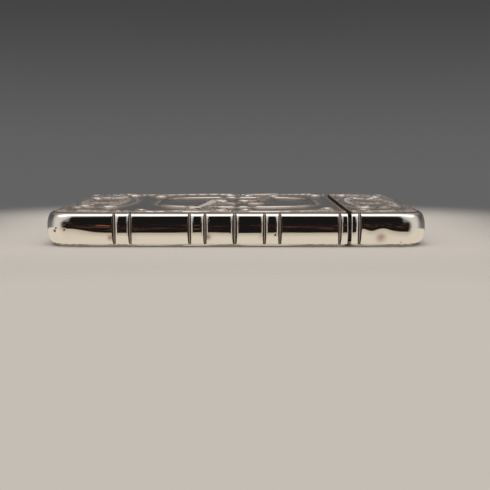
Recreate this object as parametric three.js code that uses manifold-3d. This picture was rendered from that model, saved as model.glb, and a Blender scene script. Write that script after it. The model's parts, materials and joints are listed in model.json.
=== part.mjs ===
// Silver visiting-card case: a flat body and a lid hinged at one long edge, each made of two struck plates
// seated in a moulded edge band. An inner collar stands out of the body's mouth and the lid slips over it.
// Millimetres. The case lies on its back: +X runs to the lid's end, +Y to the hinge and +Z up, and the
// origin is under the middle of the case.
import * as THREE from 'three';
import { mergeVertices } from 'three/addons/utils/BufferGeometryUtils.js';
import Module from 'manifold-3d';

const wasm = await Module();
wasm.setup();

// Overall form
const CASE_LENGTH = 104.5;
const CASE_WIDTH = 70;
const CASE_THICKNESS = 9.8; // over the straps of both faces
const CORNER_RADIUS = 8.5;
const LID_LENGTH = 21.65; // from the middle of the joint to the lid's end
const JOINT_GAP = 1;

// Struck plates
const PLATE_SHEET = 0.5;
const PLATE_FIT = 0.1; // clearance between a plate's rim and the band
const RELIEF = 0.6; // height of the straps above the plate's ground
const STRAP_SLOPE = 0.25; // how much narrower a strap is at its top, each side
const CARTOUCHE_LENGTH = 48;
const CARTOUCHE_WIDTH = 36;
const CARTOUCHE_STRAP = 1.4;
const CARTOUCHE_ROUNDNESS = 0.55; // 1 is an ellipse, and less is squarer
const SCROLL_WIDTH = 1.9;
const SCROLL_TIP = 0.9; // width at the eye of a curl
const SCROLL_MARGIN = 0.4; // ground left bare along a plate's rim

// Edge bands
const BAND_CROWN = 1.7; // how far the band swells out past its seams
const BAND_WALL = 0.65;
const SEAM_STEP = 0.12; // how far the plates' ground stands above the band's shoulder
const LEDGE_WIDTH = 1;
const LEDGE_THICKNESS = 0.5;

// Moulding of the long edges
const GROOVE_WIDTH = 1.4;
const GROOVE_FLOOR = 0.5; // flat width at the bottom of a groove
const GROOVE_DEPTH = 0.35;
const RIB_SWELL = 0.2; // fall of a rib's face from its middle to its sides
const CENTRE_PANEL = 8; // from the middle groove to the next one
const CENTRE_RIB = 4.15;
const MOUTH_RIB = 4.3; // the rib that the joint divides, and its match near the closed end

// Collar
const COLLAR_WALL = 0.4;
const COLLAR_FIT = 0.25;
const COLLAR_IN_BODY = 8;
const COLLAR_STAND = 4;

// Hinge
const BARREL_RADIUS = 1.6;
const BARREL_INSET = 1.45; // from the outside of the case to the barrel's end
const HINGE_CLEARANCE = 0.3;
const KNUCKLE_GAP = 0.2;
const PIN_RADIUS = 0.5;
const PIN_CLEARANCE = 0.06;
const PIN_DOME = 0.2;

// Scrolls of the right half of a face, in shares of the panel that they fill, which the left half repeats
// turned half round. A scroll is an arc between two ends, which rises to the left by rise, with a curl of a
// given radius at each end. A negative rise or curl goes to the right.
const FIELD_SCROLLS = [
  { from: [0.1, -0.94], to: [0.87, -0.8], rise: -2, curls: [-3, 3] },
  { from: [-0.86, -0.935], to: [-0.38, -0.82], rise: -1.6, curls: [-3, 2.6] },
  { from: [-0.18, -0.8], to: [-0.12, -0.14], rise: 4.6, curls: [2, -2.2] },
];
const END_SCROLLS = [
  { from: [0.27, -0.935], to: [0.85, -0.585], rise: -3, curls: [-3.2, 2.6] },
  { from: [0.865, -0.4], to: [0.78, 0.36], rise: -1.6, curls: [-2.4, 3] },
  { from: [0.84, 0.62], to: [0.275, 0.935], rise: -2.8, curls: [-2.2, 2.8] },
  { from: [0.195, -0.51], to: [0.18, 0.45], rise: 2.2, curls: [2.6, -3] },
];
const CURL_TURN = 1.55 * Math.PI;
const CURL_EYE = 0.28; // radius at the eye of a curl, as a share of its first radius

// Steps of the round stretches
const PROFILE_STEPS = 10;
const INNER_STEPS = 6;
const CORNER_STEPS = 6;
const SCROLL_STEPS = 7;
const CURL_STEPS = 6;
const BARREL_STEPS = 24;
const DOME_STEPS = 3;
const SAME_PLACE = 0.02; // stations nearer to each other than this are one

// Places that follow from the sizes
const JOINT_X = CASE_LENGTH / 2 - LID_LENGTH;
const HALF_WIDTH = CASE_WIDTH / 2;
const MIDDLE_Z = CASE_THICKNESS / 2;
const GROUND_Z = CASE_THICKNESS - RELIEF;
const SEAT_Z = GROUND_Z - PLATE_SHEET;
const PLATE_RIM = BAND_CROWN + PLATE_FIT;
const LEDGE_EDGE = BAND_CROWN + LEDGE_WIDTH;
const HINGE_Y = HALF_WIDTH - BARREL_RADIUS;
const HINGE_NOTCH = BARREL_RADIUS + HINGE_CLEARANCE;
const BODY = -1;
const LID = 1;

function metal(name, color, roughness) {
  return new THREE.MeshStandardMaterial({ name, color, metalness: 1, roughness });
}
const silver = metal('silver', 0xdad5cc, 0.12);
const steel = metal('steel', 0x8d8b88, 0.3);

// Turns a surface right side out and gives it as a closed mesh.
function closedGeometry(positions, triangles) {
  const corner = (index) => new THREE.Vector3().fromArray(positions, index * 3);
  let volume = 0;
  for (const [a, b, c] of triangles) {
    volume += corner(a).dot(corner(b).cross(corner(c)));
  }
  const faces = volume < 0 ? triangles.map(([a, b, c]) => [a, c, b]) : triangles;
  const geometry = new THREE.BufferGeometry();
  geometry.setAttribute('position', new THREE.Float32BufferAttribute(positions, 3));
  geometry.setIndex(faces.flat());
  return geometry;
}

// Skins a row of closed rings of points. With a capOutline, which is the outline of a ring, the row is
// closed at both ends with flat caps. Without one its last ring joins its first.
function loft(rings, capOutline = null) {
  const count = rings[0].length;
  const positions = rings.flat().flatMap((point) => point.toArray());
  const triangles = [];
  const spans = capOutline ? rings.length - 1 : rings.length;
  for (let span = 0; span < spans; span += 1) {
    const here = span * count;
    const next = ((span + 1) % rings.length) * count;
    for (let i = 0; i < count; i += 1) {
      const j = (i + 1) % count;
      triangles.push([here + i, here + j, next + j]);
      triangles.push([here + i, next + j, next + i]);
    }
  }
  if (capOutline) {
    const last = (rings.length - 1) * count;
    const clockwise = THREE.ShapeUtils.isClockWise(capOutline);
    for (const [a, b, c] of THREE.ShapeUtils.triangulateShape(capOutline, [])) {
      const cap = clockwise ? [a, b, c] : [a, c, b];
      triangles.push(cap);
      triangles.push(cap.map((index) => last + index).reverse());
    }
  }
  return closedGeometry(positions, triangles);
}

function solidOf(geometry) {
  const bare = new THREE.BufferGeometry();
  bare.setAttribute('position', geometry.getAttribute('position'));
  bare.setIndex(geometry.getIndex());
  const merged = mergeVertices(bare);
  const mesh = new wasm.Mesh({
    numProp: 3,
    vertProperties: new Float32Array(merged.getAttribute('position').array),
    triVerts: new Uint32Array(merged.getIndex().array),
  });
  return new wasm.Manifold(mesh);
}

function geometryOf(solid) {
  const mesh = solid.getMesh();
  const geometry = new THREE.BufferGeometry();
  geometry.setAttribute('position', new THREE.BufferAttribute(mesh.vertProperties, 3));
  geometry.setIndex(new THREE.BufferAttribute(mesh.triVerts, 1));
  return geometry;
}

function arc(centreX, centreY, radius, from, to, steps) {
  const points = [];
  for (let i = 0; i <= steps; i += 1) {
    const angle = from + ((to - from) * i) / steps;
    points.push(new THREE.Vector2(centreX + radius * Math.cos(angle), centreY + radius * Math.sin(angle)));
  }
  return points;
}

// Ribs and grooves of a long edge, by their place along the case
const RIBS = [];
const GROOVES = [0];
for (const side of [-1, 1]) {
  RIBS.push({ x: side * (CENTRE_PANEL + CENTRE_RIB / 2), half: CENTRE_RIB / 2 });
}
RIBS.push({ x: JOINT_X, half: (MOUTH_RIB + JOINT_GAP) / 2 });
RIBS.push({ x: -JOINT_X, half: MOUTH_RIB / 2 });
for (const rib of RIBS) {
  GROOVES.push(rib.x - rib.half, rib.x + rib.half);
}

// How deep the moulding lies below the crown line at a place along the case
function mouldingSink(x) {
  let sink = 0;
  for (const rib of RIBS) {
    const share = Math.abs(x - rib.x) / rib.half;
    if (share <= 1) {
      sink = RIB_SWELL * share * share;
    }
  }
  for (const groove of GROOVES) {
    const wall = (GROOVE_WIDTH - GROOVE_FLOOR) / 2;
    const share = (GROOVE_WIDTH / 2 - Math.abs(x - groove)) / wall;
    sink += GROOVE_DEPTH * Math.min(1, Math.max(0, share));
  }
  return sink;
}

// Places along a long edge where the moulding turns, between two ends
function mouldingPlaces(start, end) {
  const low = Math.min(start, end);
  const high = Math.max(start, end);
  const bends = [-GROOVE_WIDTH / 2, -GROOVE_FLOOR / 2, GROOVE_FLOOR / 2, GROOVE_WIDTH / 2];
  const turns = GROOVES.flatMap((x) => bends.map((bend) => x + bend));
  const crowns = RIBS.map((rib) => rib.x);
  const inside = [...turns, ...crowns].filter((x) => x > low + SAME_PLACE && x < high - SAME_PLACE);
  const places = [low, ...inside.sort((a, b) => a - b), high];
  return start < end ? places : places.reverse();
}

// Stations along an edge band, from its near mouth round the end of the case to the hinge
function bandStations(part) {
  const end = (part * CASE_LENGTH) / 2;
  const turn = end - part * CORNER_RADIUS;
  const mouth = JOINT_X + (part * JOINT_GAP) / 2;
  const hinge = JOINT_X + part * HINGE_NOTCH;
  const stations = [];
  for (const x of mouldingPlaces(mouth, turn)) {
    stations.push({ x, y: -HALF_WIDTH, outX: 0, outY: -1, sink: mouldingSink(x) });
  }
  for (const side of [-1, 1]) {
    for (let i = 0; i <= CORNER_STEPS; i += 1) {
      const share = side < 0 ? i / CORNER_STEPS : 1 - i / CORNER_STEPS;
      const outX = part * Math.sin((share * Math.PI) / 2);
      const outY = side * Math.cos((share * Math.PI) / 2);
      const x = turn + CORNER_RADIUS * outX;
      const y = side * (HALF_WIDTH - CORNER_RADIUS) + CORNER_RADIUS * outY;
      stations.push({ x, y, outX, outY, sink: 0 });
    }
  }
  for (const x of mouldingPlaces(turn, hinge)) {
    stations.push({ x, y: HALF_WIDTH, outX: 0, outY: 1, sink: mouldingSink(x) });
  }
  return stations.filter((here, i) => {
    const before = stations[i - 1];
    return !before || Math.hypot(here.x - before.x, here.y - before.y) > SAME_PLACE;
  });
}

// Outer curve of the band from its upper shoulder to its lower one: how far it lies inside the crown line,
// its height, and how much of the moulding's depth shows there
function outerCurve() {
  const rise = MIDDLE_Z - RELIEF - SEAM_STEP;
  const points = [];
  for (let i = 0; i <= PROFILE_STEPS; i += 1) {
    const angle = Math.PI / 2 - (Math.PI * i) / PROFILE_STEPS;
    const swell = Math.cos(angle);
    const depth = Math.sqrt(Math.max(0, swell));
    points.push({ inset: BAND_CROWN * (1 - swell), z: MIDDLE_Z + rise * Math.sin(angle), depth });
  }
  return points;
}

// Section of the band: the swelling outside, a ledge for each plate, and the hollow inside
function bandSection() {
  const hollowRise = SEAT_Z - LEDGE_THICKNESS - MIDDLE_Z;
  const section = outerCurve();
  section.push({ inset: BAND_CROWN, z: CASE_THICKNESS - SEAT_Z, depth: 0 });
  section.push({ inset: LEDGE_EDGE, z: CASE_THICKNESS - SEAT_Z, depth: 0 });
  for (let i = 0; i <= INNER_STEPS; i += 1) {
    const angle = -Math.PI / 2 + (Math.PI * i) / INNER_STEPS;
    const inset = BAND_WALL + (LEDGE_EDGE - BAND_WALL) * (1 - Math.cos(angle));
    section.push({ inset, z: MIDDLE_Z + hollowRise * Math.sin(angle), depth: 0 });
  }
  section.push({ inset: LEDGE_EDGE, z: SEAT_Z, depth: 0 });
  section.push({ inset: BAND_CROWN, z: SEAT_Z, depth: 0 });
  return section;
}

function edgeBand(part) {
  const section = bandSection();
  const rings = bandStations(part).map((station) => section.map((point) => {
    const inset = point.inset + point.depth * station.sink;
    return new THREE.Vector3(station.x - station.outX * inset, station.y - station.outY * inset, point.z);
  }));
  return loft(rings, section.map((point) => new THREE.Vector2(point.inset, point.z)));
}

// Outline of a plate, or of a field inside its rim by margin: square at the mouth, hollowed round the
// hinge, and round at the end of the case
function plateOutline(part, margin) {
  const radius = CORNER_RADIUS - PLATE_RIM - margin;
  const length = (CASE_LENGTH / 2) - part * JOINT_X;
  const corner = length - CORNER_RADIUS;
  const side = HALF_WIDTH - CORNER_RADIUS;
  const mouth = JOINT_GAP / 2 + margin;
  const rim = HALF_WIDTH - PLATE_RIM - margin;
  const hollow = HINGE_NOTCH + margin;
  const hollowFrom = Math.asin((rim - HINGE_Y) / hollow);
  const hollowTo = -Math.acos(mouth / hollow);
  const points = [new THREE.Vector2(mouth, -rim)];
  points.push(...arc(corner, -side, radius, -Math.PI / 2, 0, CORNER_STEPS));
  points.push(...arc(corner, side, radius, 0, Math.PI / 2, CORNER_STEPS));
  points.push(...arc(0, HINGE_Y, hollow, hollowFrom, hollowTo, CORNER_STEPS));
  return points.map((point) => new THREE.Vector2(JOINT_X + part * point.x, point.y));
}

// Section of a raised strap of a given half-width, with a flat top and sloping sides
function strapSection(half) {
  const foot = GROUND_Z - PLATE_SHEET / 4;
  const flat = half - STRAP_SLOPE;
  return [[-half, foot], [-flat, CASE_THICKNESS], [flat, CASE_THICKNESS], [half, foot]];
}

// Points of a curl, from where it leaves its arc to its eye
function curlPath(start, heading, radius) {
  const turn = (Math.sign(radius) * CURL_TURN) / CURL_STEPS;
  const points = [];
  let angle = heading;
  let place = start;
  for (let i = 0; i < CURL_STEPS; i += 1) {
    const share = (i + 0.5) / CURL_STEPS;
    const step = 2 * Math.abs(radius) * (1 - (1 - CURL_EYE) * share) * Math.sin(Math.abs(turn) / 2);
    angle += turn / 2;
    place = place.clone().add(new THREE.Vector2(step * Math.cos(angle), step * Math.sin(angle)));
    angle += turn / 2;
    points.push(place);
  }
  return points;
}

// Middle line of a scroll: the curl at its first end, its arc, and the curl at its second end
function scrollPath(from, to, rise, curls) {
  const chord = to.clone().sub(from);
  const half = 2 * Math.atan2(2 * rise, chord.length());
  const radius = chord.length() / (2 * Math.sin(half));
  const middle = [];
  for (let i = 0; i <= SCROLL_STEPS; i += 1) {
    const bend = half * (1 - (2 * i) / SCROLL_STEPS);
    const along = chord.length() / 2 - radius * Math.sin(bend);
    const across = radius * (Math.cos(bend) - Math.cos(half));
    const point = new THREE.Vector2(along, across);
    middle.push(point.rotateAround(new THREE.Vector2(), chord.angle()).add(from));
  }
  const first = curlPath(from, chord.angle() + half + Math.PI, curls[0]);
  const last = curlPath(to, chord.angle() - half, curls[1]);
  return [...first.reverse(), ...middle, ...last];
}

// A scroll as a strap that is widest in the middle of its arc
function scrollStrap(path) {
  const rings = path.map((place, i) => {
    const before = path[Math.max(0, i - 1)];
    const after = path[Math.min(path.length - 1, i + 1)];
    const left = after.clone().sub(before).normalize().rotateAround(new THREE.Vector2(), Math.PI / 2);
    const share = (2 * i) / (path.length - 1) - 1;
    const width = SCROLL_WIDTH - (SCROLL_WIDTH - SCROLL_TIP) * share * share;
    return strapSection(width / 2).map(([side, z]) => (
      new THREE.Vector3(place.x + side * left.x, place.y + side * left.y, z)
    ));
  });
  return loft(rings, strapSection(1).map(([side, z]) => new THREE.Vector2(side, z)));
}

// The scrolls of a panel, which reaches from inner to outer along the case. For the left half, way is -1.
function panelScrolls(scrolls, inner, outer, way) {
  const rim = HALF_WIDTH - PLATE_RIM;
  const place = ([along, across]) => (
    new THREE.Vector2(inner + (outer - inner) * along, rim * across).multiplyScalar(way)
  );
  return scrolls.map(({ from, to, rise, curls }) => (
    scrollStrap(scrollPath(place(from), place(to), rise, curls))
  ));
}

// Squared oval, inside the cartouche's outer edge by inset
function cartoucheOutline(inset) {
  const steps = CORNER_STEPS * 8;
  const squared = (share) => Math.sign(share) * Math.abs(share) ** CARTOUCHE_ROUNDNESS;
  const halfLength = CARTOUCHE_LENGTH / 2 - inset;
  const halfWidth = CARTOUCHE_WIDTH / 2 - inset;
  const points = [];
  for (let i = 0; i < steps; i += 1) {
    const angle = (i / steps) * Math.PI * 2;
    const along = halfLength * squared(Math.cos(angle));
    points.push(new THREE.Vector2(along, halfWidth * squared(Math.sin(angle))));
  }
  return points;
}

// The oval frame round the plain middle of the field
function cartoucheStrap() {
  const half = CARTOUCHE_STRAP / 2;
  return loft(strapSection(half).map(([side, z]) => (
    cartoucheOutline(half + side).map((point) => new THREE.Vector3(point.x, point.y, z))
  )));
}

function prism(outline, bottom, top) {
  const ringAt = (z) => outline.map((point) => new THREE.Vector3(point.x, point.y, z));
  return loft([ringAt(bottom), ringAt(top)], outline);
}

function plate(part, straps) {
  const sheet = solidOf(prism(plateOutline(part, 0), SEAT_Z, GROUND_Z));
  const bounds = solidOf(prism(plateOutline(part, SCROLL_MARGIN), SEAT_Z, CASE_THICKNESS + RELIEF));
  const relief = straps.map((geometry) => solidOf(geometry)).reduce((all, one) => all.add(one));
  return geometryOf(sheet.add(relief.intersect(bounds)));
}

// The sleeve in the mouth. Its near side is swaged out between the ledges of the bands, and its far side is
// flat and clear of the hinge barrel.
function mouthCollar() {
  const near = -(HALF_WIDTH - LEDGE_EDGE - COLLAR_FIT);
  const far = Math.min(-near, HINGE_Y - HINGE_NOTCH);
  const top = SEAT_Z - COLLAR_FIT;
  const swage = LEDGE_EDGE - BAND_WALL;
  const swageRise = SEAT_Z - LEDGE_THICKNESS - COLLAR_FIT - MIDDLE_Z;
  const ringAt = (x, inset) => {
    const high = top - inset;
    const low = CASE_THICKNESS - high;
    const points = [[near + inset, low], [far - inset, low], [far - inset, high], [near + inset, high]];
    for (let i = 0; i <= PROFILE_STEPS; i += 1) {
      const angle = Math.PI / 2 - (Math.PI * i) / PROFILE_STEPS;
      const out = swage * Math.cos(angle);
      points.push([near + inset - out, MIDDLE_Z + (swageRise - inset) * Math.sin(angle)]);
    }
    return points.map(([y, z]) => new THREE.Vector3(x, y, z));
  };
  const back = JOINT_X - COLLAR_IN_BODY;
  const front = JOINT_X + COLLAR_STAND;
  return loft([ringAt(back, 0), ringAt(front, 0), ringAt(front, COLLAR_WALL), ringAt(back, COLLAR_WALL)]);
}

// A hinge knuckle: a tube with a lug that reaches the end of its own band, dressed to the band's swelling
function knuckle(part, bottom, top) {
  const lugTop = BARREL_RADIUS - GROOVE_DEPTH;
  const outline = arc(0, 0, BARREL_RADIUS, Math.asin(lugTop / BARREL_RADIUS), Math.PI * 2, BARREL_STEPS);
  outline.push(new THREE.Vector2(HINGE_NOTCH, 0), new THREE.Vector2(HINGE_NOTCH, lugTop));
  const placed = outline.map((point) => new THREE.Vector2(JOINT_X + part * point.x, HINGE_Y + point.y));
  const tube = prism(placed, bottom, top);
  const boreRadius = PIN_RADIUS + PIN_CLEARANCE;
  const bore = new THREE.CylinderGeometry(boreRadius, boreRadius, CASE_THICKNESS, BARREL_STEPS);
  bore.rotateX(Math.PI / 2);
  bore.translate(JOINT_X, HINGE_Y, MIDDLE_Z);
  const profile = outerCurve().map((point) => new THREE.Vector2(HALF_WIDTH - point.inset, point.z));
  profile.push(new THREE.Vector2(HINGE_Y - HINGE_NOTCH, profile[PROFILE_STEPS].y));
  profile.push(new THREE.Vector2(HINGE_Y - HINGE_NOTCH, profile[0].y));
  const ringAt = (x) => profile.map((point) => new THREE.Vector3(x, point.x, point.y));
  const swelling = loft([ringAt(JOINT_X - 2 * HINGE_NOTCH), ringAt(JOINT_X + 2 * HINGE_NOTCH)], profile);
  return geometryOf(solidOf(tube).intersect(solidOf(swelling)).subtract(solidOf(bore)));
}

// The pin, with a low dome at each end
function hingePin() {
  const reach = SEAT_Z - MIDDLE_Z;
  const dome = [];
  for (let i = 0; i <= DOME_STEPS; i += 1) {
    const angle = (i / DOME_STEPS) * (Math.PI / 2);
    const height = reach - PIN_DOME * (1 - Math.cos(angle));
    dome.push([PIN_RADIUS * Math.sin(angle), height]);
  }
  const foot = dome.map(([radius, height]) => [radius, -height]);
  const profile = [...foot, ...dome.reverse()].map(([radius, height]) => new THREE.Vector2(radius, height));
  const pin = new THREE.LatheGeometry(profile, BARREL_STEPS);
  pin.rotateX(Math.PI / 2);
  pin.translate(JOINT_X, HINGE_Y, MIDDLE_Z);
  return geometryOf(solidOf(pin));
}

const object = new THREE.Group();
object.name = 'card_case';

function place(name, geometry, material) {
  geometry.computeVertexNormals();
  const mesh = new THREE.Mesh(geometry, material);
  mesh.name = name;
  object.add(mesh);
  return mesh;
}

// Front and back are struck from the same die, so the back plate is the front one turned over.
function placePlates(prefix, geometry) {
  place(`${prefix}_front_plate`, geometry, silver);
  const back = place(`${prefix}_back_plate`, geometry, silver);
  back.scale.z = -1;
  back.position.z = CASE_THICKNESS;
}

const fieldEnd = JOINT_X - JOINT_GAP / 2;
const panelInner = JOINT_X + JOINT_GAP / 2;
const panelOuter = CASE_LENGTH / 2 - PLATE_RIM;
placePlates('body', plate(BODY, [
  cartoucheStrap(),
  ...panelScrolls(FIELD_SCROLLS, 0, fieldEnd, 1),
  ...panelScrolls(FIELD_SCROLLS, 0, fieldEnd, -1),
  ...panelScrolls(END_SCROLLS, panelInner, panelOuter, -1),
]));
placePlates('lid', plate(LID, panelScrolls(END_SCROLLS, panelInner, panelOuter, 1)));
place('body_edge_band', edgeBand(BODY), silver);
place('lid_edge_band', edgeBand(LID), silver);
place('mouth_collar', mouthCollar(), silver);

const barrelBottom = BARREL_INSET;
const barrelTop = CASE_THICKNESS - BARREL_INSET;
const knuckleLength = (barrelTop - barrelBottom - 2 * KNUCKLE_GAP) / 3;
const lidKnuckle = MIDDLE_Z - knuckleLength / 2;
place('hinge_knuckle_body_lower', knuckle(BODY, barrelBottom, barrelBottom + knuckleLength), silver);
place('hinge_knuckle_lid', knuckle(LID, lidKnuckle, lidKnuckle + knuckleLength), silver);
place('hinge_knuckle_body_upper', knuckle(BODY, barrelTop - knuckleLength, barrelTop), silver);
place('hinge_pin', hingePin(), steel);

export default object;
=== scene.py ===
"""Looks of a silver visiting-card case: chased plates, moulded edge bands, collar and flush hinge.

Sizes are in millimetres until a mesh is made, and in metres in Blender.
"""
import functools
import json
import math

import bmesh
import bpy
import numpy as np
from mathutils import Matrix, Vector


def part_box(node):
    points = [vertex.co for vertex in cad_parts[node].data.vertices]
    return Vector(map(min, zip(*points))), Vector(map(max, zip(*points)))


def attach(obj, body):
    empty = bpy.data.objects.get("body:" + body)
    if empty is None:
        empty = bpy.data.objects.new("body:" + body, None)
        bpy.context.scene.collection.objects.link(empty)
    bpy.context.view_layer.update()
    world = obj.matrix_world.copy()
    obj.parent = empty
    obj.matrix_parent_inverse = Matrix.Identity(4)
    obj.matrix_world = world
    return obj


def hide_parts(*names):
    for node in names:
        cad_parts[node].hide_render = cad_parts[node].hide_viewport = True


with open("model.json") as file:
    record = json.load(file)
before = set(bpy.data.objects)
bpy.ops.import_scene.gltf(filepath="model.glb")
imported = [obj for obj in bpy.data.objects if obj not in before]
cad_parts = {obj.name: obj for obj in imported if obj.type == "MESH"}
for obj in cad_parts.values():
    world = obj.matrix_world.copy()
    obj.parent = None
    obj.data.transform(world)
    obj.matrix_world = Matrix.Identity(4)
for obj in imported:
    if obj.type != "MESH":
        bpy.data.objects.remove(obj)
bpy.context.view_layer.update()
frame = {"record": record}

MM = 0.001
BODY = -1
LID = 1
BODY_NAMES = {BODY: "body", LID: "lid"}


def node_box(node):
    """Lowest and highest corner of a CAD node, in millimetres."""
    low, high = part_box(node)
    return np.array(low) / MM, np.array(high) / MM


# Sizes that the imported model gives
body_low, body_high = node_box("body_edge_band")
lid_low, lid_high = node_box("lid_edge_band")
plate_low, plate_high = node_box("body_front_plate")
collar_low, collar_high = node_box("mouth_collar")
pin_low, pin_high = node_box("hinge_pin")
lid_plate_high = node_box("lid_front_plate")[1]
HINGE_X, HINGE_Y, MIDDLE_Z = np.array(frame["record"]["behaviour"]["joints"][0]["pos_m"]) / MM
CASE_END = lid_high[0]
HALF_WIDTH = lid_high[1]
THICKNESS = plate_high[2]
SHOULDER_RISE = body_high[2] - MIDDLE_Z
SEAT_Z = plate_low[2]
PLATE_END = lid_plate_high[0]
PLATE_SIDE = plate_high[1]
PIN_RADIUS = (pin_high[0] - pin_low[0]) / 2
BARREL_RADIUS = HALF_WIDTH - HINGE_Y
MOUTH = {BODY: body_high[0], LID: lid_low[0]}
JOINT_GAP = MOUTH[LID] - MOUTH[BODY]

# Edge bands
CORNER_RADIUS = 8.5
BAND_CROWN = 1.7
BAND_WALL = 0.65
LEDGE_EDGE = 2.7
LEDGE_THICKNESS = 0.5
HINGE_NOTCH = 1.9

# Moulding of the long edges
MIDDLE_GROOVE_HALF = 0.72
RIB_GROOVE_HALF = 0.52
CENTRE_SHIFT = -0.3  # the middle groove and the ribs beside it lie off centre
GROOVE_DEPTH = 0.24
GROOVE_END = 0.5  # share of its width that a groove keeps at the seams
GROOVE_WALL = 0.72  # share of a groove's half-width that its side wall takes
CENTRE_PANEL = 8
CENTRE_RIB = 4.15
MOUTH_RIB = 4.3
ROLL_RIB = (0.72, 0.3)  # width and fall of the rounding along a rib's sides
ROLL_CENTRE = (0.6, 0.24)
ROLL_PANEL = (0.35, 0.04)
ROLL_SPREAD = 1.9  # how much wider the rounding is at the seams
LIP_ROUND = 0.3
LIP_FALL = 0.16
WAVE = 0.006  # unevenness of the hand-worked band
# Waves of that unevenness: millimetres to a radian, lean with the height, start and share
WAVES = [(2.9, 0.7, 0, 1), (4.7, -0.9, 1.3, 1), (8.1, 0.4, 2.1, 1.4)]
SEAM_SHADE = 0.14  # how far up the swell the seams are painted black, as shade in the seam
PIT_GRIME = 2  # how sharply a pit's grime ends
BLACK = 1.6  # mark of a surface that is wholly black: grime in pits, painted shade in seams, groove walls and the joint
HALO = 0.06  # tarnish along the sides of a groove
HALO_WIDTH = 0.9
WALL_SHARES = (0, 0.01, 0.97, 1)  # from a groove's brink to its floor
# tarnish at those shares: the walls are painted black, as their shade and dark reflection, and the floor
# has tarnish
WALL_TARNISH_AND_SHADE = (HALO, BLACK, BLACK, 0.62)
INSIDE_TARNISH = 0.35

# Spacing of a band's points: steps along its long edges, and counts
EDGE_STEP = 0.5
GROOVE_STEP = 0.07
GROOVE_REACH = 1.6  # on each side of a groove, where the steps are close
LIP_STEP = 0.06
CORNER_POINTS = 34
END_POINTS = 90
SWELL_POINTS = 49
HOLLOW_POINTS = 13

# Plates
RELIEF = 0.6
RELIEF_BLUR = 0.09
GROUND_Z = THICKNESS - RELIEF
GROUND_WAVE = 0.012
PLATE_CORNER = CORNER_RADIUS - (CASE_END - PLATE_END)
PLATE_CORNER_X = PLATE_END - PLATE_CORNER
PLATE_CORNER_Y = PLATE_SIDE - PLATE_CORNER
PLATE_STEP = 0.2
PLATE_BEND_POINTS = 31
PLATE_SHARP = 65  # degrees
RIM_ROUND = 0.3
RIM_DROP = 0.1
RIM_BARE = 0.1
RIM_CLIMB = 0.4  # width over which the relief rises from the bare rim
RIM_SHADE = 0.36  # from the rim to where its painted shade, a black line along the seam, ends
RIM_SHADE_FADE = 0.3
FOOT_HEIGHT = 0.3  # height up to which the ground beside the rim is painted dark, as shade along the seam
FOOT_WIDTH = 1.2
UNDERSIDE_TARNISH = 0.4
RASTER_STEP = 0.1
LAST_CELL = 1.001  # keeps samples within the last cell

# Ornament
CARTOUCHE_HALF = (24, 18)
CARTOUCHE_ROUNDNESS = 0.55
CARTOUCHE_POINTS = 721
CARTOUCHE_STRAP = 1.4
STRAP_PEAK = 0.95
THREAD_INSET = 2.1  # from the cartouche's outer edge to the fine line inside its strap
THREAD_HALF = 0.32
THREAD_PEAK = 0.35
STROKE_FULLNESS = 0.8  # below 1, a stroke's section is fuller
FLUTE_START = 0.8  # share of a stroke's height from which its crest is fluted
FLUTE_WALL = 0.15
SCROLL_FLUTE = 0.22  # depth of a flute as a share of the relief
LEAF_FLUTE = 0.3
SCROLL_HALF = 0.95
SCROLL_TIP = 0.45
SCROLL_FALL = 0.15  # share of its height that a scroll loses towards its ends
ARC_STEPS = 32
LEAF_PLACES = (4, 9, 14, 19, 24, 29)  # by step of a scroll's arc
LEAF_LENGTHS = (6.5, 4.4)
LEAF_HALF = 0.75
LEAF_TIP = 0.2  # half-width of a leaf at both its ends
LEAF_FULLNESS = 0.7  # below 1, a leaf is widest nearer to its root
LEAF_FALL = 0.4  # share of its height that a leaf loses towards its tip
LEAF_HEIGHT = 0.9  # of the tallest leaves, as a share of the relief
LEAF_SPREAD = 1.1  # angle between a leaf's root and its scroll
LEAF_BEND = 0.75
LEAF_ROOT = 0.6  # from the middle of a scroll to the root of its leaves
EYE_HALF = 0.65
EYE_PEAK = 0.6
PETAL_HALF = 0.5
PETAL_FAN = 2.6  # angle over which a palmette spreads
PETAL_LOSS = 0.3  # share of its length that a petal loses a radian from the middle
PETAL_BEND = 0.5  # by the same angle
PALMETTE_BOSS = 1
ROSETTE_PETALS = 8
ROSETTE_FILL = 0.95  # share of its space that a petal fills
ROSETTE_ROOT = 0.35  # reach and width of a petal's root, as shares of its tip's
ROSETTE_RISE = (0.7, 0.95)  # height of a petal at its root and its tip
ROSETTE_BOSS = 0.28  # share of the flower's radius
BORDER_STEP = 3.1
BORDER_INSET = 1.1
BORDER_LEAF = 2.7
BORDER_HALF = 0.4
BORDER_PEAK = 0.45
BORDER_LEAN = 0.6  # angle between a leaf's root and the rim
BORDER_BEND = -0.9
RIB_PITCH = 1.7  # between chevrons
RIB_HALF = 0.55
RIB_DEPTH = 0.5  # share of the height that a chevron cuts away
RIB_SLANT = 0.7
WEAR_DEPTH = 0.55

# Tarnish in crevices, by their depth below what surrounds them
CREVICE_REACH = 0.6
CREVICE_GAIN = 2.2
CREVICE_START = 0.03
CREVICE_MOST = 0.5

# Punched ground around the ornament
PUNCHED_FROM = 0.04  # height from which relief counts as ornament
PUNCHED_REACH = 1.6
PUNCHED_GAIN = 2.6
PUNCHED_TOP = 0.14  # height at which the punching ends
PLAIN_GROUND = 0.85  # the ground within this share of the cartouche is plain

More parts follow.
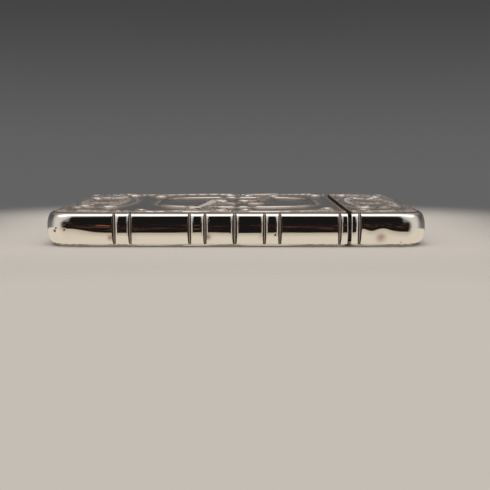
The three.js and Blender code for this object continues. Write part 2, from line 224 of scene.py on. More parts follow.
# Scrolls of half of a face, which the other half repeats turned half round. Each has its two ends in shares
# of its panel, its arc's rise to the left, the radius of the curl at each end and the height of its leaves.
CROOK = ((-0.18, -0.8), (-0.12, -0.14), 4.6, (2, -2.2), 0.5)
FIELD_SCROLLS = [
    ((0.1, -0.94), (0.87, -0.8), -2, (-3, 3), 0.25),
    ((-0.86, -0.935), (-0.38, -0.82), -1.6, (-3, 2.6), 0.25),
    CROOK,
]
END_SCROLLS = [
    ((0.27, -0.935), (0.85, -0.585), -3, (-3.2, 2.6), 1),
    ((0.865, -0.4), (0.78, 0.36), -1.6, (-2.4, 3), 1),
    ((0.84, 0.62), (0.275, 0.935), -2.8, (-2.2, 2.8), 1),
    ((0.195, -0.51), (0.18, 0.45), 2.2, (2.6, -3), 1),
]
CURL_TURN = 1.55 * math.pi
CURL_EYE = 0.28
# Fans of petals by root, heading and length, repeated turned half round
PALMETTES = [
    ((44.5, -27.5), -math.pi / 4, 6),
    ((44.5, 27.5), math.pi / 4, 6),
    ((34, -29), -math.pi / 2, 4),
    ((34, 29), math.pi / 2, 4),
    ((40.5, -15.5), -math.pi / 2, 6),
    ((40.5, 14), math.pi / 2, 6),
    ((28, -29), -math.pi / 2, 4),
    ((-28, -29), -math.pi / 2, 4),
]
# Broad ribbed scroll beside the crook across the cartouche's frame, with its ends in millimetres
STAFF = ((-10.6, -17.4), (-7.7, 2.8), -0.75, (-1.8, -2.7), 0.3)
STAFF_HALF = 1.6
STAFF_FROST = 2.6  # punching of the near staff, as a share of the ground's
END_FROST = 0.55  # the same for the raised work of the end panels
FROST_RISE = 0.25  # height from which that is in full
FROST_EDGE = 0.3  # share of the staff's height from which it is in full there
BORDER_REED = ((-14.4, -32.2), 0.12, 13.4, 0.1, 0.6)  # root, heading, length, bend and half-width
# Flowers by place, radius and height as a share of the relief
FLOWERS = [((40.6, -0.6), 4.6, 1), ((0, 0), 2, 0.4)]
# Worn places of the cartouche's near strap, by place along the case and half-length
STRAP_WEAR = [(-18, 0.6), (-14.6, 1), (-11.5, 1.3), (0, 1.1), (4.3, 1.6)]

# Shallow dents of the near edge: place along the case, height, both radii and depth
DENTS = [
    (39.3, 2, 2.4, 3, 0.46),
    (34.2, 2, 1.5, 2.8, 0.42),
    (45, 2, 7, 3, 0.12),
    (-45.5, 2, 5.6, 3, 0.46),
]
# Small pits of the near edge: place along the case, height, radius and depth
PITS = [
    (-48.6, 5.1, 0.2, 0.12),
    (-49.1, 4.3, 0.24, 0.14),
    (-46.1, 4.8, 0.18, 0.1),
    (10.6, 3.4, 0.2, 0.06),
    (44.7, 1.3, 0.14, 0.05),
    (-7.3, 7.3, 0.2, 0.06),
]
# Stains of the near edge: place along the case, height, radius and tarnish
STAINS = [
    (39.1, 2.5, 1.5, 0.46),
    (-33.7, 2.6, 0.9, 0.45),
    (-27.5, 2.6, 1.2, 0.16),
    (-7.5, 2.8, 1, 0.42),
    (6.8, 2.8, 0.9, 0.2),
]

# Photograph's view
CAMERA_PLACE = (0.00247, -0.256, 0.03065)
CAMERA_PITCH = math.radians(7.72)
CAMERA_LENS = 61.05


def smooth(share):
    """Smooth step from 0 to 1."""
    share = np.clip(share, 0, 1)
    return share * share * (3 - 2 * share)


# Meshes


def make_piece(name, points, faces, material, body, replaced, sharp=40, marks=None):
    """A mesh piece in millimetre points that rides on a body and stands for a CAD node."""
    mesh = bpy.data.meshes.new(name)
    mesh.from_pydata((np.asarray(points) * MM).tolist(), [], faces)
    mesh.validate()
    skin = bmesh.new()
    skin.from_mesh(mesh)
    bmesh.ops.recalc_face_normals(skin, faces=skin.faces)
    skin.to_mesh(mesh)
    skin.free()
    mesh.shade_smooth()
    mesh.set_sharp_from_angle(angle=math.radians(sharp))
    for mark, values in (marks or {}).items():
        attribute = mesh.attributes.new(mark, "FLOAT", "POINT")
        attribute.data.foreach_set("value", np.asarray(values, dtype=np.float32))
    mesh.materials.append(material)
    piece = bpy.data.objects.new(name, mesh)
    bpy.context.collection.objects.link(piece)
    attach(piece, body)
    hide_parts(replaced)
    return piece


def grid_faces(rows, columns, wrap_columns=False, wrap_rows=False):
    """Quads between rows of points, each row joined to the next."""
    faces = []
    row_count = rows if wrap_rows else rows - 1
    column_count = columns if wrap_columns else columns - 1
    for row in range(row_count):
        here = row * columns
        after = (row + 1) % rows * columns
        for column in range(column_count):
            beside = (column + 1) % columns
            faces.append((here + column, here + beside, after + beside, after + column))
    return faces


# Edge bands

CENTRE_SPANS = [
    (CENTRE_SHIFT - CENTRE_PANEL, CENTRE_SHIFT),
    (CENTRE_SHIFT, CENTRE_SHIFT + CENTRE_PANEL),
]
RIB_SPANS = [
    (CENTRE_SPANS[0][0] - CENTRE_RIB, CENTRE_SPANS[0][0]),
    (CENTRE_SPANS[1][1], CENTRE_SPANS[1][1] + CENTRE_RIB),
    (-HINGE_X - MOUTH_RIB / 2, -HINGE_X + MOUTH_RIB / 2),
    (HINGE_X - (MOUTH_RIB + JOINT_GAP) / 2, HINGE_X + (MOUTH_RIB + JOINT_GAP) / 2),
]
GROOVES = {CENTRE_SHIFT: MIDDLE_GROOVE_HALF}
for span in RIB_SPANS:
    GROOVES.update(dict.fromkeys(span, RIB_GROOVE_HALF))


def side_roll(groove, side):
    """Width and fall of the rounding beside a groove, on its left or right."""
    inside = groove + side
    if any(low < inside < high for low, high in RIB_SPANS):
        return ROLL_RIB
    if any(low < inside < high for low, high in CENTRE_SPANS):
        return ROLL_CENTRE
    return ROLL_PANEL


def moulding(places, swell):
    """Depth below the crown line, and tarnish with painted shade, by place along a long edge and by the
    band's swell.

    The swell is 1 at mid-height and 0 at the seams, so a groove narrows and rises to nothing there.
    """
    along = places[:, None]
    depth = np.zeros((len(places), len(swell)))
    tarnish_and_shade = np.zeros_like(depth)
    for groove, widest in GROOVES.items():
        half = widest * (GROOVE_END + (1 - GROOVE_END) * swell)
        offset = along - groove
        falls = {}
        for side in (-1, 1):
            width, fall = side_roll(groove, side)
            wide = width * (ROLL_SPREAD - (ROLL_SPREAD - 1) * swell)
            away = np.clip(1 - (side * offset - half) / wide, 0, 1)
            depth += np.where(side * offset >= half, fall * away**2, 0)
            halo = np.clip(1 - (side * offset - half) / HALO_WIDTH, 0, 1)
            tarnish_and_shade = np.maximum(tarnish_and_shade, np.where(side * offset >= half, HALO * halo**2, 0))
            falls[side] = fall
        share = offset / half
        inside = np.abs(share) < 1
        base = falls[-1] + (falls[1] - falls[-1]) * (share + 1) / 2
        wall = smooth((1 - np.abs(share)) / GROOVE_WALL)
        depth += np.where(inside, base + GROOVE_DEPTH * wall, 0)
        # the groove's walls are painted black, as their shade and dark reflection; its floor has tarnish
        film_and_shade = np.interp(wall, WALL_SHARES, WALL_TARNISH_AND_SHADE)
        tarnish_and_shade = np.maximum(tarnish_and_shade, np.where(inside, film_and_shade, 0))
    return depth * np.sqrt(swell), tarnish_and_shade


def edge_places(start, end):
    """Places along a long edge, close together at the grooves and at the mouth."""
    low, high = min(start, end), max(start, end)
    places = [np.linspace(low, high, int((high - low) / EDGE_STEP) + 2)]
    for groove in GROOVES:
        places.append(np.arange(groove - GROOVE_REACH, groove + GROOVE_REACH, GROOVE_STEP))
    for mouth in MOUTH.values():
        places.append(np.arange(mouth - LIP_ROUND, mouth + LIP_ROUND, LIP_STEP))
    merged = np.unique(np.round(np.concatenate(places), 3))
    merged = merged[(merged >= low) & (merged <= high)]
    return merged if start < end else merged[::-1]


def band_path(part):
    """Stations of a band from its near mouth round the end of the case to the hinge.

    Each has its place, its way out and its place along a long edge.
    """
    turn = part * (CASE_END - CORNER_RADIUS)
    near = edge_places(MOUTH[part], turn)
    far = edge_places(turn, HINGE_X + part * HINGE_NOTCH)
    bend = np.linspace(0, math.pi / 2, CORNER_POINTS)[1:-1]
    side = HALF_WIDTH - CORNER_RADIUS
    straight = [(x, -HALF_WIDTH, 0, -1, x) for x in near]
    first = [
        (turn + part * CORNER_RADIUS * math.sin(a), -side - CORNER_RADIUS * math.cos(a),
         part * math.sin(a), -math.cos(a), math.nan)
        for a in bend
    ]
    end = [(part * CASE_END, y, part, 0, math.nan) for y in np.linspace(-side, side, END_POINTS)]
    second = [(x, -y, out_x, -out_y, place) for x, y, out_x, out_y, place in reversed(first)]
    back = [(x, HALF_WIDTH, 0, 1, x) for x in far]
    return np.array(straight + first + end + second + back)


def band_waves(distance, heights):
    """Slight unevenness along the band, as a sum of long waves."""
    along = distance[:, None]
    return WAVE * sum(
        share * np.sin(along / length + lean * heights + start) for length, lean, start, share in WAVES
    )


def band_surface(part, path, swell, heights):
    """Depth of a band's outside below its crown line, and its tarnish with painted shade at the seams and
    groove walls, by station and height.
    """
    path_x, path_y, _, _, place = path.T
    depth = np.zeros((len(path), len(swell)))
    tarnish_and_shade = np.zeros_like(depth)
    long_edge = ~np.isnan(place)
    depth[long_edge], tarnish_and_shade[long_edge] = moulding(place[long_edge], swell)
    lip = np.clip(1 - np.abs(place - MOUTH[part]) / LIP_ROUND, 0, 1)
    depth += np.where(np.isnan(lip), 0, LIP_FALL * lip**2)[:, None] * np.sqrt(swell)

    def spot(x, z, along, across):
        """Falls from 1 at a spot of the near edge to 0 around it."""
        spread = ((path_x - x) / along)[:, None]**2 + ((heights - z) / across)**2
        return np.where(path_y[:, None] < 0, np.exp(-spread), 0)

    for x, z, along, across, fall in DENTS:
        depth += fall * spot(x, z, along, across) * swell
    for x, z, radius, fall in PITS:
        pit = spot(x, z, radius, radius)
        depth += fall * pit * swell
        tarnish_and_shade = np.maximum(tarnish_and_shade, BLACK * smooth(PIT_GRIME * pit))
    for x, z, radius, strength in STAINS:
        tarnish_and_shade = np.maximum(tarnish_and_shade, strength * spot(x, z, radius, radius))
    # the seams are painted black, as shade in the seam
    tarnish_and_shade = np.maximum(tarnish_and_shade, BLACK * smooth(1 - swell / SEAM_SHADE))
    steps = np.hypot(np.diff(path_x), np.diff(path_y))
    distance = np.concatenate([[0], np.cumsum(steps)])
    depth += band_waves(distance, heights) * swell
    return depth, tarnish_and_shade


def band_hollow():
    """Insets and heights of a band's inside: the lower ledge, the hollow wall and the upper ledge."""
    angles = np.linspace(-math.pi / 2, math.pi / 2, HOLLOW_POINTS)
    rise = SEAT_Z - LEDGE_THICKNESS - MIDDLE_Z
    floor_z = THICKNESS - SEAT_Z
    wall_insets = BAND_WALL + (LEDGE_EDGE - BAND_WALL) * (1 - np.cos(angles))
    wall_heights = MIDDLE_Z + rise * np.sin(angles)
    insets = np.concatenate([[BAND_CROWN, LEDGE_EDGE], wall_insets, [LEDGE_EDGE, BAND_CROWN]])
    heights = np.concatenate([[floor_z, floor_z], wall_heights, [SEAT_Z, SEAT_Z]])
    return insets, heights


def edge_band(part, material):
    """The moulded strip round the body or the lid."""
    path = band_path(part)
    angles = np.linspace(math.pi / 2, -math.pi / 2, SWELL_POINTS)
    swell = np.clip(np.cos(angles), 0, 1)
    heights = MIDDLE_Z + SHOULDER_RISE * np.sin(angles)
    depth, tarnish_and_shade = band_surface(part, path, swell, heights)
    hollow_insets, hollow_heights = band_hollow()
    hollow_size = (len(path), len(hollow_insets))
    outer_insets = BAND_CROWN * (1 - swell) + depth
    insets = np.concatenate([outer_insets, np.broadcast_to(hollow_insets, hollow_size)], axis=1)
    marks = np.concatenate([tarnish_and_shade, np.full(hollow_size, INSIDE_TARNISH)], axis=1)

    x, y, out_x, out_y, _ = path.T
    rows, count = insets.shape
    points = np.empty((rows, count, 3))
    points[:, :, 0] = x[:, None] - out_x[:, None] * insets
    points[:, :, 1] = y[:, None] - out_y[:, None] * insets
    points[:, :, 2] = np.concatenate([heights, hollow_heights])
    faces = grid_faces(rows, count, wrap_columns=True)
    faces.append(tuple(reversed(range(count))))
    faces.append(tuple(range((rows - 1) * count, rows * count)))
    name = BODY_NAMES[part]
    make_piece(
        f"{name}_moulded_band", points.reshape(-1, 3), faces, material, name, f"{name}_edge_band",
        marks={"tarnish_and_shade": marks.reshape(-1)},
    )


# Chased relief of the plates, drawn on a raster of the whole face

raster_x = np.arange(-CASE_END, CASE_END + RASTER_STEP / 2, RASTER_STEP)
raster_y = np.arange(-HALF_WIDTH, HALF_WIDTH + RASTER_STEP / 2, RASTER_STEP)


def raise_stroke(field, path, halves, peaks):
    """Raises a rounded stroke along a path, by its half-width and its peak, up to 1, at each point."""
    for (x, y), half, peak in zip(path, halves, peaks):
        first_column, last_column = np.searchsorted(raster_x, (x - half, x + half))
        first_row, last_row = np.searchsorted(raster_y, (y - half, y + half))
        across = raster_x[first_column:last_column, None] - x
        along = raster_y[None, first_row:last_row] - y
        dome = np.clip(1 - (across**2 + along**2) / half**2, 0, None)
        patch = field[first_column:last_column, first_row:last_row]
        np.maximum(patch, peak * dome, out=patch)


def raise_line(field, path, half, peak):
    """Raises a stroke of even width and height."""
    raise_stroke(field, path, np.full(len(path), half), np.full(len(path), peak))


def resample(path, step=0.12):
    """Points at even steps along a path."""
    path = np.asarray(path)
    lengths = np.concatenate([[0], np.cumsum(np.hypot(*np.diff(path, axis=0).T))])
    places = np.linspace(0, lengths[-1], max(2, int(lengths[-1] / step)))
    x = np.interp(places, lengths, path[:, 0])
    y = np.interp(places, lengths, path[:, 1])
    return np.stack([x, y], axis=1)


def curl(x, y, heading, radius, steps=24):
    """Points of a curl, from where it leaves its arc to its eye."""
    turn = math.copysign(CURL_TURN / steps, radius)
    points = []
    for index in range(steps):
        share = (index + 0.5) / steps
        length = 2 * abs(radius) * (1 - (1 - CURL_EYE) * share) * math.sin(abs(turn) / 2)
        heading += turn / 2
        x += length * math.cos(heading)
        y += length * math.sin(heading)
        heading += turn / 2
        points.append((x, y))
    return points


def scroll_arc(start, end, rise, steps=ARC_STEPS):
    """Points of the arc between two places, and its headings at both ends."""
    chord = math.dist(start, end)
    along = math.atan2(end[1] - start[1], end[0] - start[0])
    half = 2 * math.atan2(2 * rise, chord)
    radius = chord / (2 * math.sin(half))
    points = []
    for index in range(steps + 1):
        bend = half * (1 - 2 * index / steps)
        forth = chord / 2 - radius * math.sin(bend)
        left = radius * (math.cos(bend) - math.cos(half))
        points.append((
            start[0] + forth * math.cos(along) - left * math.sin(along),
            start[1] + forth * math.sin(along) + left * math.cos(along),
        ))
    return points, along + half, along - half


def bent_line(root, heading, length, bend, steps=14):
    """Points of a line that bends to the left by bend over its length."""
    points = [root]
    step = length / steps
    for _ in range(steps):
        heading += bend / steps
        x, y = points[-1]
        points.append((x + step * math.cos(heading), y + step * math.sin(heading)))
    return points


def raise_leaf(field, root, heading, length, bend, half, peak=1):
    """A pointed leaf that bends to the left by bend over its length."""
    path = resample(bent_line(root, heading, length, bend))
    share = np.linspace(0, 1, len(path))
    halves = LEAF_TIP + half * np.sin(math.pi * share**LEAF_FULLNESS)
    raise_stroke(field, path, halves, peak * (1 - LEAF_FALL * share))


def raise_scroll(scrolls, leaves, start, end, rise, curls, leaf_peak, half=SCROLL_HALF):
    """A scroll with curled ends and eyes, and with leaves along the hollow side of its arc.

    Returns its path with its half-widths, and its arc.
    """
    arc, first_heading, last_heading = scroll_arc(start, end, rise)
    first = curl(*start, first_heading + math.pi, curls[0])
    last = curl(*end, last_heading, curls[1])
    path = resample(first[::-1] + arc + last)
    share = np.linspace(-1, 1, len(path))
    halves = half - (half - SCROLL_TIP) * share**2
    raise_stroke(scrolls, path, halves, 1 - SCROLL_FALL * share**2)
    raise_line(leaves, [first[-1], last[-1]], EYE_HALF, EYE_PEAK)
    side = -math.copysign(1, rise)
    for place, index in enumerate(LEAF_PLACES):
        x, y = arc[index]
        before_x, before_y = arc[index - 1]
        tangent = math.atan2(y - before_y, x - before_x)
        root = (x - side * LEAF_ROOT * math.sin(tangent), y + side * LEAF_ROOT * math.cos(tangent))
        length = LEAF_LENGTHS[place % 2]
        heading = tangent + side * LEAF_SPREAD
        raise_leaf(leaves, root, heading, length, -side * LEAF_BEND, LEAF_HALF, leaf_peak)
    return path, halves, arc


def raise_palmette(leaves, root, heading, length, petals=7):
    """A fan of petals."""
    for index in range(petals):
        lean = (index / (petals - 1) - 0.5) * PETAL_FAN
        reach = length * (1 - PETAL_LOSS * abs(lean))
        raise_leaf(leaves, root, heading + lean, reach, PETAL_BEND * lean, PETAL_HALF)
    raise_line(leaves, [root], PALMETTE_BOSS, 1)


def raise_rosette(leaves, centre, radius, peak, steps=24):
    """A flower of round petals about a boss."""
    x, y = centre
    widest = ROSETTE_FILL * radius * math.sin(math.pi / ROSETTE_PETALS)
    shares = np.linspace(ROSETTE_ROOT, 1, steps)
    peaks = peak * np.linspace(*ROSETTE_RISE, steps)
    for index in range(ROSETTE_PETALS):
        angle = 2 * math.pi * index / ROSETTE_PETALS
        reaches = shares * (radius - widest)
        path = [(x + reach * math.cos(angle), y + reach * math.sin(angle)) for reach in reaches]
        raise_stroke(leaves, path, shares * widest, peaks)
    raise_line(leaves, [centre], ROSETTE_BOSS * radius, peak)


def raise_border(leaves):
    """A row of short leaves along the near side and the right end, inside the rim."""
    side = PLATE_SIDE - BORDER_INSET
    end = PLATE_END - BORDER_INSET
    leaf = (BORDER_LEAF, BORDER_BEND, BORDER_HALF, BORDER_PEAK)
    for x in np.arange(-end + CORNER_RADIUS, end - CORNER_RADIUS, BORDER_STEP):
        raise_leaf(leaves, (x, -side), BORDER_LEAN, *leaf)
    for y in np.arange(-side + CORNER_RADIUS, side - CORNER_RADIUS, BORDER_STEP):
        raise_leaf(leaves, (end, y), math.pi / 2 + BORDER_LEAN, *leaf)


def cartouche_path(inset):
    """Squared oval, inside the cartouche's outer edge by inset."""
    angle = np.linspace(0, 2 * math.pi, CARTOUCHE_POINTS)
    sides = []
    for half, wave in zip(CARTOUCHE_HALF, (np.cos(angle), np.sin(angle))):
        sides.append((half - inset) * np.sign(wave) * np.abs(wave)**CARTOUCHE_ROUNDNESS)
    return resample(np.stack(sides, axis=1))


def blur(values, radius):
    """Gaussian blur of a raster, with the radius in millimetres, cut off at three radii."""
    reach = int(3 * radius / RASTER_STEP)
    weights = np.exp(-0.5 * (np.arange(-reach, reach + 1) * RASTER_STEP / radius)**2)
    weights /= weights.sum()
    padded = np.pad(values, reach, mode="edge")
    width, depth = values.shape
    rows = sum(weight * padded[index:index + width] for index, weight in enumerate(weights))
    return sum(weight * rows[:, index:index + depth] for index, weight in enumerate(weights))


def fluted(field, depth):
    """Height of strokes as a share of the relief, with a flute chased along each crest."""
    return field**STROKE_FULLNESS - depth * smooth((field - FLUTE_START) / FLUTE_WALL)


def cut_across(cuts, path, half, points=24):
    """Chevrons chased across a path, at even steps along it."""
    path = resample(path, RIB_PITCH / 2)
    for before, here, after in zip(path[:-2:2], path[1:-1:2], path[2::2]):
        along = (after - before) / np.linalg.norm(after - before)
        left = np.array([-along[1], along[0]])
        reaches = np.linspace(-half, half, points)
        line = [here + reach * left - RIB_SLANT * abs(reach) * along for reach in reaches]
        raise_line(cuts, line, RIB_HALF, RIB_DEPTH)


def on_panel(places, inner, outer):
    """Places on the face, given as shares of a panel between two places along the case."""
    return [(inner + (outer - inner) * along, PLATE_SIDE * across) for along, across in places]


def chased_relief():
    """Ornament of a whole face: its height before and after its cuts, and its frosting."""
    size = (len(raster_x), len(raster_y))
    scrolls, leaves, cuts, frost = (np.zeros(size) for _ in range(4))
    field = (0, MOUTH[BODY])
    end_panel = (MOUTH[LID], PLATE_END)
    for listed, panel in ((FIELD_SCROLLS, field), (END_SCROLLS, end_panel)):
        for start, end, rise, curls, leaf_peak in listed:
            raise_scroll(scrolls, leaves, *on_panel((start, end), *panel), rise, curls, leaf_peak)
    path, halves, staff = raise_scroll(scrolls, leaves, *STAFF, half=STAFF_HALF)
    raise_stroke(frost, path, halves, np.ones(len(path)))
    for palmette in PALMETTES:
        raise_palmette(leaves, *palmette)
    for flower in FLOWERS:
        raise_rosette(leaves, *flower)
    raise_leaf(scrolls, *BORDER_REED)
    raise_border(leaves)

    cut_across(cuts, staff, STAFF_HALF)
    crook = scroll_arc(*on_panel(CROOK[:2], *field), CROOK[2])[0]
    cut_across(cuts, crook[:len(crook) // 2], SCROLL_HALF)
    strap_half = CARTOUCHE_STRAP / 2
    for place, half in STRAP_WEAR:
        raise_line(cuts, [(place, strap_half - CARTOUCHE_HALF[1])], half, WEAR_DEPTH)
    scrolls, leaves, cuts = (np.maximum(half, half[::-1, ::-1]) for half in (scrolls, leaves, cuts))
    raise_line(scrolls, cartouche_path(strap_half), strap_half, STRAP_PEAK)
    raise_line(leaves, cartouche_path(THREAD_INSET), THREAD_HALF, THREAD_PEAK)
    face = np.maximum(fluted(scrolls, SCROLL_FLUTE), LEAF_HEIGHT * fluted(leaves, LEAF_FLUTE))
    uncut_height = RELIEF * blur(face, RELIEF_BLUR)
    height = RELIEF * blur(face * (1 - cuts), RELIEF_BLUR)
    return uncut_height, height, smooth(frost / FROST_EDGE)


def punched_ground():
    """How strongly the ground, the near staff and the end panels are punched."""
    across, along = raster_x[:, None], raster_y
    ornament = blur((relief > PUNCHED_FROM).astype(float), PUNCHED_REACH)
    ground = smooth(PUNCHED_GAIN * ornament) * (1 - smooth(relief / PUNCHED_TOP))
    power = 2 / CARTOUCHE_ROUNDNESS
    from_middle = sum(
        np.abs(place / half)**power for place, half in zip((across, along), CARTOUCHE_HALF)
    )
    punched = np.maximum(ground * (from_middle > PLAIN_GROUND), STAFF_FROST * frosting)
    end_panels = np.abs(across) > MOUTH[BODY]
    return np.maximum(punched, END_FROST * end_panels * smooth(relief / FROST_RISE))


def rolling(along, across, length, sway, sway_length, start=0):
    """A wave along one side of the face, which sways along the other."""
    return np.sin(along / length + sway * np.sin(across / sway_length) + start)


uncut, relief, frosting = chased_relief()
crevice_depth = blur(uncut, CREVICE_REACH) - uncut
crevices = np.clip(CREVICE_GAIN * crevice_depth - CREVICE_START, 0, CREVICE_MOST)
matting = punched_ground()
undulation = GROUND_WAVE * (
    rolling(raster_x[:, None], raster_y, length=1.7, sway=0.6, sway_length=2.3)
    + rolling(raster_y, raster_x[:, None], length=1.9, sway=0.8, sway_length=3.1, start=0.9)
)


def sample(raster, x, y):
    """Raster values at places on the face, bilinear."""
    column = np.clip((x + CASE_END) / RASTER_STEP, 0, raster.shape[0] - LAST_CELL)
    row = np.clip((y + HALF_WIDTH) / RASTER_STEP, 0, raster.shape[1] - LAST_CELL)
    c, r = column.astype(int), row.astype(int)
    u, v = column - c, row - r
    low = raster[c, r] * (1 - u) + raster[c + 1, r] * u
    high = raster[c, r + 1] * (1 - u) + raster[c + 1, r + 1] * u
    return low * (1 - v) + high * v


def plate_grid(part):
    """Places of a plate's points, in columns from its mouth to its end."""
    turn = part * PLATE_CORNER_X
    straight = np.linspace(MOUTH[part], turn, int(abs(turn - MOUTH[part]) / PLATE_STEP) + 1)
    bend = np.linspace(0, math.pi / 2, PLATE_BEND_POINTS)[1:]
    columns = np.concatenate([straight, part * (PLATE_CORNER_X + PLATE_CORNER * np.sin(bend))])
    round_sides = PLATE_CORNER_Y + PLATE_CORNER * np.cos(bend)
    sides = np.concatenate([np.full(len(straight), PLATE_SIDE), round_sides])
    from_hinge = np.abs(columns - HINGE_X)
    hollow = HINGE_Y - np.sqrt(np.clip(HINGE_NOTCH**2 - from_hinge**2, 0, None))
    far = np.where(from_hinge < HINGE_NOTCH, np.minimum(sides, hollow), sides)
    rows = int(2 * PLATE_SIDE / PLATE_STEP) + 1
    x = np.repeat(columns[:, None], rows, axis=1)
    y = -sides[:, None] + (far + sides)[:, None] * np.linspace(0, 1, rows)
    return x, y


def rim_distance(part, x, y):
    """Distance of a plate's points from its sides, its mouth and its notch for the hinge."""
    past_x = np.clip(np.abs(x) - PLATE_CORNER_X, 0, None)
    past_y = np.clip(np.abs(y) - PLATE_CORNER_Y, 0, None)
    from_sides = PLATE_CORNER - np.hypot(past_x, past_y)
    from_notch = np.hypot(x - HINGE_X, y - HINGE_Y) - HINGE_NOTCH
    return np.minimum(np.minimum(from_sides, np.abs(x - MOUTH[part])), from_notch)


def chased_plate(part, front, material):
    """A sheet with chased ornament on its outside: the front one, or the back one turned over."""
    x, y = plate_grid(part)
    rim = rim_distance(part, x, y)
    edge = np.clip(1 - rim / RIM_ROUND, 0, 1)
    bare = smooth((rim - RIM_BARE) / RIM_CLIMB)
    height = np.minimum(sample(relief + undulation, x, y), RELIEF) * bare
    z = GROUND_Z + height - RIM_DROP * edge**2

    top = np.stack([x, y, z], axis=2).reshape(-1, 3)
    index = np.arange(x.size).reshape(x.shape)
    loop = np.concatenate([index[:, 0], index[-1, 1:], index[-2::-1, -1], index[0, -2:0:-1]])
    under = top[loop].copy()
    under[:, 2] = SEAT_Z
    points = np.concatenate([top, under])
    if not front:
        points[:, 2] = THICKNESS - points[:, 2]
    under_loop = np.arange(len(top), len(points))
    walls = np.stack([np.roll(loop, -1), loop, under_loop, np.roll(under_loop, -1)], axis=1)
    faces = grid_faces(*x.shape)
    faces.extend(tuple(wall) for wall in walls.tolist())
    faces.append(tuple(under_loop.tolist()))

    # tarnish in the crevices, and painted shade as a black line along the rim's seam
    grime_and_painted_shade = np.maximum(sample(crevices, x, y), BLACK * smooth((RIM_SHADE - rim) / RIM_SHADE_FADE))
    # painted shade on the low ground beside the rim, which leaves the raised relief bright
    foot_shade = smooth(1 - height / FOOT_HEIGHT) * smooth(1 - rim / FOOT_WIDTH)
    grime_and_painted_shade = np.maximum(grime_and_painted_shade, foot_shade)
    punched = sample(matting, x, y) * bare
    marks = {
        "tarnish_and_shade": np.concatenate([grime_and_painted_shade.reshape(-1), np.full(len(loop), UNDERSIDE_TARNISH)]),
        "matting": np.concatenate([punched.reshape(-1), np.zeros(len(loop))]),
    }
    body = BODY_NAMES[part]
    face = "front" if front else "back"
    make_piece(
        f"{body}_{face}_chased_plate", points, faces, material, body, f"{body}_{face}_plate",
        sharp=PLATE_SHARP, marks=marks,
    )


# Collar, hinge knuckles and pin

COLLAR_WALL = 0.4
COLLAR_CORNER = 0.5
COLLAR_SIDE_POINTS = 30
COLLAR_CORNER_POINTS = 9
COLLAR_SWAGE_POINTS = 33
COLLAR_LIP = 1  # length at each end that has only the rounded lip
COLLAR_LIP_POINTS = 9
COLLAR_STEP = 0.25
JOINT_REACH = 0.9  # half-length of the painted shade in the joint


def collar_outline(inset):
    """Section of the sleeve across the case: near side swaged out, far side flat."""
    high = collar_high[2] - inset
    low = THICKNESS - high
    swage = LEDGE_EDGE - BAND_WALL
    near = collar_low[1] + swage + inset
    far = collar_high[1] - inset
    corner = COLLAR_CORNER - inset
    swage_rise = collar_high[2] - LEDGE_THICKNESS - MIDDLE_Z - inset
    points = [(y, low) for y in np.linspace(near, far - corner, COLLAR_SIDE_POINTS)[:-1]]
    for centre_z, start in ((low + corner, -math.pi / 2), (high - corner, 0)):
        for angle in np.linspace(start, start + math.pi / 2, COLLAR_CORNER_POINTS):
            y = far - corner + corner * math.cos(angle)
            points.append((y, centre_z + corner * math.sin(angle)))
    points.extend((y, high) for y in np.linspace(far - corner, near, COLLAR_SIDE_POINTS)[1:])
    for angle in np.linspace(math.pi / 2, -math.pi / 2, COLLAR_SWAGE_POINTS):
        points.append((near - swage * math.cos(angle), MIDDLE_Z + swage_rise * math.sin(angle)))
    return points


def mouth_collar(material):
    """The sleeve that stands out of the body's mouth, with rounded lips."""
    half = COLLAR_WALL / 2
    rings = []
    for angle in np.linspace(0, math.pi, COLLAR_LIP_POINTS):
        x = collar_high[0] - half + half * math.sin(angle)
        rings.append((x, half - half * math.cos(angle)))
    for angle in np.linspace(math.pi, 0, COLLAR_LIP_POINTS):
        x = collar_low[0] + half - half * math.sin(angle)
        rings.append((x, half - half * math.cos(angle)))
    between_lips = np.arange(collar_low[0] + COLLAR_LIP, collar_high[0] - COLLAR_LIP, COLLAR_STEP)
    rings.extend((x, 0) for x in between_lips)
    points = [(x, y, z) for x, inset in rings for y, z in collar_outline(inset)]
    count = len(points) // len(rings)
    places = np.repeat([x for x, _ in rings], count)
    outside = np.repeat([inset < half for _, inset in rings], count)
    # painted shade along the joint, where the collar lies deep in the gap
    grime_and_painted_shade = BLACK * np.exp(-((places - HINGE_X) / JOINT_REACH)**2)
    tarnish_and_shade = np.where(outside, grime_and_painted_shade, INSIDE_TARNISH)
    faces = grid_faces(len(rings), count, wrap_columns=True, wrap_rows=True)
    make_piece(
        "mouth_sleeve", points, faces, material, "body", "mouth_collar", marks={"tarnish_and_shade": tarnish_and_shade},
    )


LUG_FALL = 0.35
LUG_BRINK = 0.001  # angle from the lug to the bare side
LUG_SIDE_POINTS = 61
BARE_SIDE_POINTS = 40
KNUCKLE_ROUND = 0.12
KNUCKLE_ROUND_ROWS = 5
KNUCKLE_ROWS = 12
PIN_CLEARANCE = 0.06
PIN_DOME = 0.2
PIN_TIP = 0.05  # angle from the axis where a dome ends
PIN_DOME_ROWS = 8
PIN_SEGMENTS = 72


def knuckle_reach(angle):
    """Distance from the hinge's axis to the outside of a knuckle, by angle from the way of its lug."""
    lug_top = BARREL_RADIUS - LUG_FALL
    if angle < 0 or angle > math.asin(lug_top / BARREL_RADIUS):
        return BARREL_RADIUS
    if math.tan(angle) < lug_top / HINGE_NOTCH:
        return HINGE_NOTCH / math.cos(angle)
    return lug_top / math.sin(angle)


